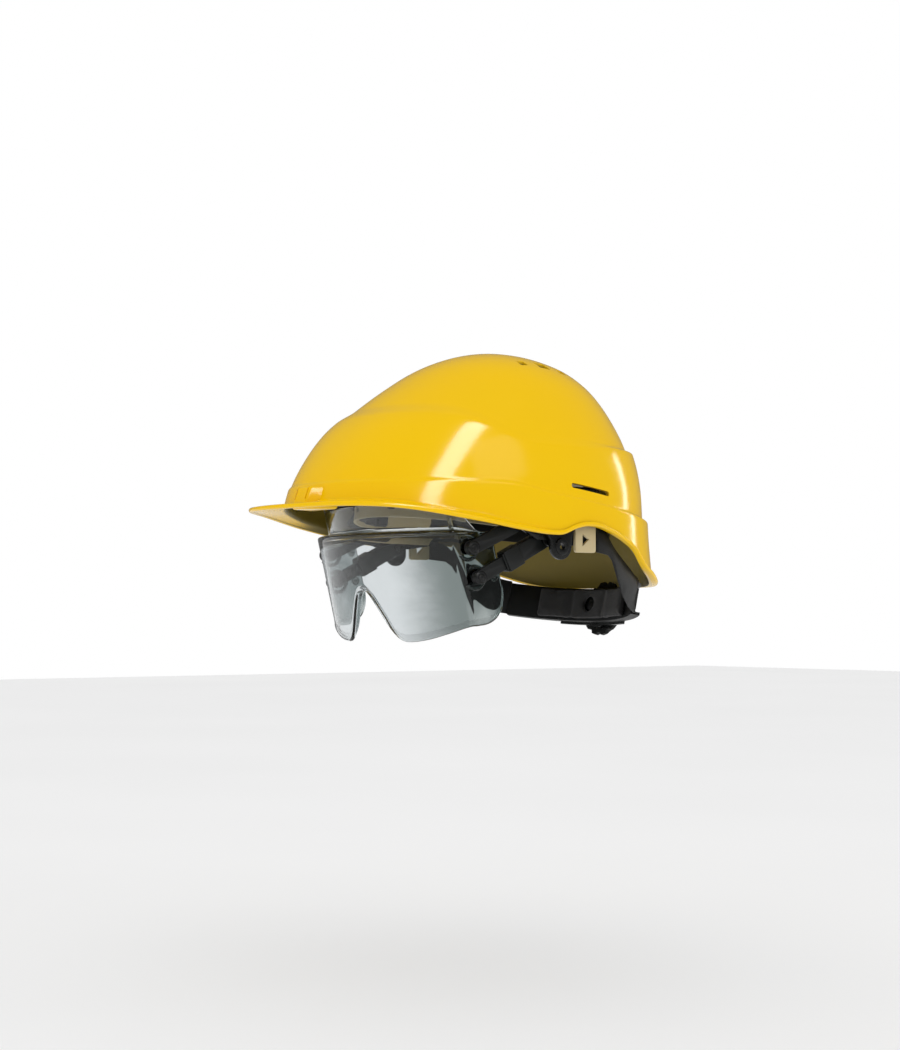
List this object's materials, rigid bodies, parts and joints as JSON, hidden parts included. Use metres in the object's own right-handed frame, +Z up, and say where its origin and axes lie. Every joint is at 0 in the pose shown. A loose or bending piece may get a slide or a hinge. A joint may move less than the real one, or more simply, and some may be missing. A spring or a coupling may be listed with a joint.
{
  "type": "safety helmet",
  "caption": "Vented safety helmet with a short peak, a clear visor that swings up inside on paired arms, and a nape strap tightened by a knob.",
  "frame": {"origin": "middle of the head opening, level with the lower edge of the brow band", "axes": "+Z up, the wearer faces -Y, the wearer's left is +X"},
  "size_m": [0.213, 0.2984, 0.201],
  "materials": {
    "shell_yellow": "glossy moulded yellow",
    "visor_clear": "clear moulded, slightly grey",
    "black_gloss": "semi-gloss moulded black",
    "black_matte": "fine-grained moulded black",
    "harness_beige": "satin moulded beige",
    "foam_fabric": "foam-backed black cloth",
    "webbing": "woven beige webbing",
    "pin_clear": "moulded black pins"
  },
  "bodies": {
    "root": {"shell": "shell_yellow", "chassis_pivot_pins": "black_gloss", "brow_band": "harness_beige", "rear_hoop": "black_matte", "sweat_band": "foam_fabric", "nape_band": "black_matte", "nape_housing": "black_gloss", "detent_ring": "harness_beige", "nape_pad": "foam_fabric", "cradle_strap_1": "webbing", "cradle_strap_2": "webbing", "cradle_strap_3": "webbing", "chassis_plate_left": "black_gloss", "chin_strap_anchor_left": "black_gloss", "harness_clip_left": "harness_beige", "band_link_left": "harness_beige", "nape_arm_left": "black_gloss", "chassis_plate_right": "black_gloss", "chin_strap_anchor_right": "black_gloss", "harness_clip_right": "harness_beige", "band_link_right": "harness_beige", "nape_arm_right": "black_gloss"},
    "visor_sleeve_left": {"lower_arm_sleeve_left": "black_matte", "length_lock_left": "black_matte"},
    "visor_sleeve_right": {"lower_arm_sleeve_right": "black_matte", "length_lock_right": "black_matte"},
    "visor_rod_left": {"lower_arm_rod_left": "black_matte"},
    "visor_rod_right": {"lower_arm_rod_right": "black_matte"},
    "lens": {"visor_lens": "visor_clear", "lens_pivot_pins": "pin_clear"},
    "upper_arm_left": {"upper_arm_left": "black_matte"},
    "upper_arm_right": {"upper_arm_right": "black_matte"},
    "nape_strap_left": {"nape_rack_left": "black_matte"},
    "nape_strap_right": {"nape_rack_right": "black_matte"},
    "nape_knob": {"ratchet_knob": "black_gloss", "knob_shaft": "black_gloss"}
  },
  "joints": [
    {"name": "visor_raise", "type": "hinge", "parent": "root", "child": "visor_sleeve_left", "pos_m": [0, 0.012, -0.008], "axis": [-1, 0, 0], "range_deg": [0, 50]},
    {"name": "visor_raise_right", "type": "hinge", "parent": "root", "child": "visor_sleeve_right", "pos_m": [0, 0.012, -0.008], "axis": [-1, 0, 0], "range_deg": [0, 50]},
    {"name": "visor_reach", "type": "slide", "parent": "visor_sleeve_left", "child": "visor_rod_left", "axis": [0, 0.8944, 0.4472], "range_m": [0, 0.0025]},
    {"name": "visor_reach_right", "type": "slide", "parent": "visor_sleeve_right", "child": "visor_rod_right", "axis": [0, 0.8944, 0.4472], "range_m": [0, 0.0025]},
    {"name": "lens_tilt", "type": "hinge", "parent": "visor_rod_left", "child": "lens", "pos_m": [0, -0.042, -0.035], "axis": [-1, 0, 0], "range_deg": [-17.5, 0]},
    {"name": "upper_arm_left_turn", "type": "hinge", "parent": "lens", "child": "upper_arm_left", "pos_m": [0, -0.0475, -0.016], "axis": [-1, 0, 0], "range_deg": [0, 25.75]},
    {"name": "upper_arm_right_turn", "type": "hinge", "parent": "lens", "child": "upper_arm_right", "pos_m": [0, -0.0475, -0.016], "axis": [-1, 0, 0], "range_deg": [0, 25.75]},
    {"name": "nape_knob_turn", "type": "hinge", "parent": "root", "child": "nape_knob", "pos_m": [0, 0.13672, -0.05329], "axis": [0, 0.9744, -0.225], "range_deg": [-150, 150]},
    {"name": "nape_strap_left_slide", "type": "hinge", "parent": "root", "child": "nape_strap_left", "pos_m": [0, 0.012, -0.0245], "axis": [0, 0.225, 0.9744], "range_deg": [-5.5, 5.5]},
    {"name": "nape_strap_right_slide", "type": "hinge", "parent": "root", "child": "nape_strap_right", "pos_m": [0, 0.012, -0.0245], "axis": [0, 0.225, 0.9744], "range_deg": [-5.5, 5.5]}
  ],
  "couplings": [
    {"joint": "visor_raise_right", "follows": "visor_raise", "ratio": 1},
    {"joint": "lens_tilt", "follows": "visor_raise", "ratio": -0.35},
    {"joint": "upper_arm_left_turn", "follows": "visor_raise", "ratio": 0.515},
    {"joint": "upper_arm_right_turn", "follows": "visor_raise", "ratio": 0.515},
    {"joint": "visor_reach_right", "follows": "visor_reach", "ratio": 1},
    {"joint": "nape_strap_left_slide", "follows": "nape_knob_turn", "ratio": 0.036667},
    {"joint": "nape_strap_right_slide", "follows": "nape_knob_turn", "ratio": -0.036667}
  ]
}
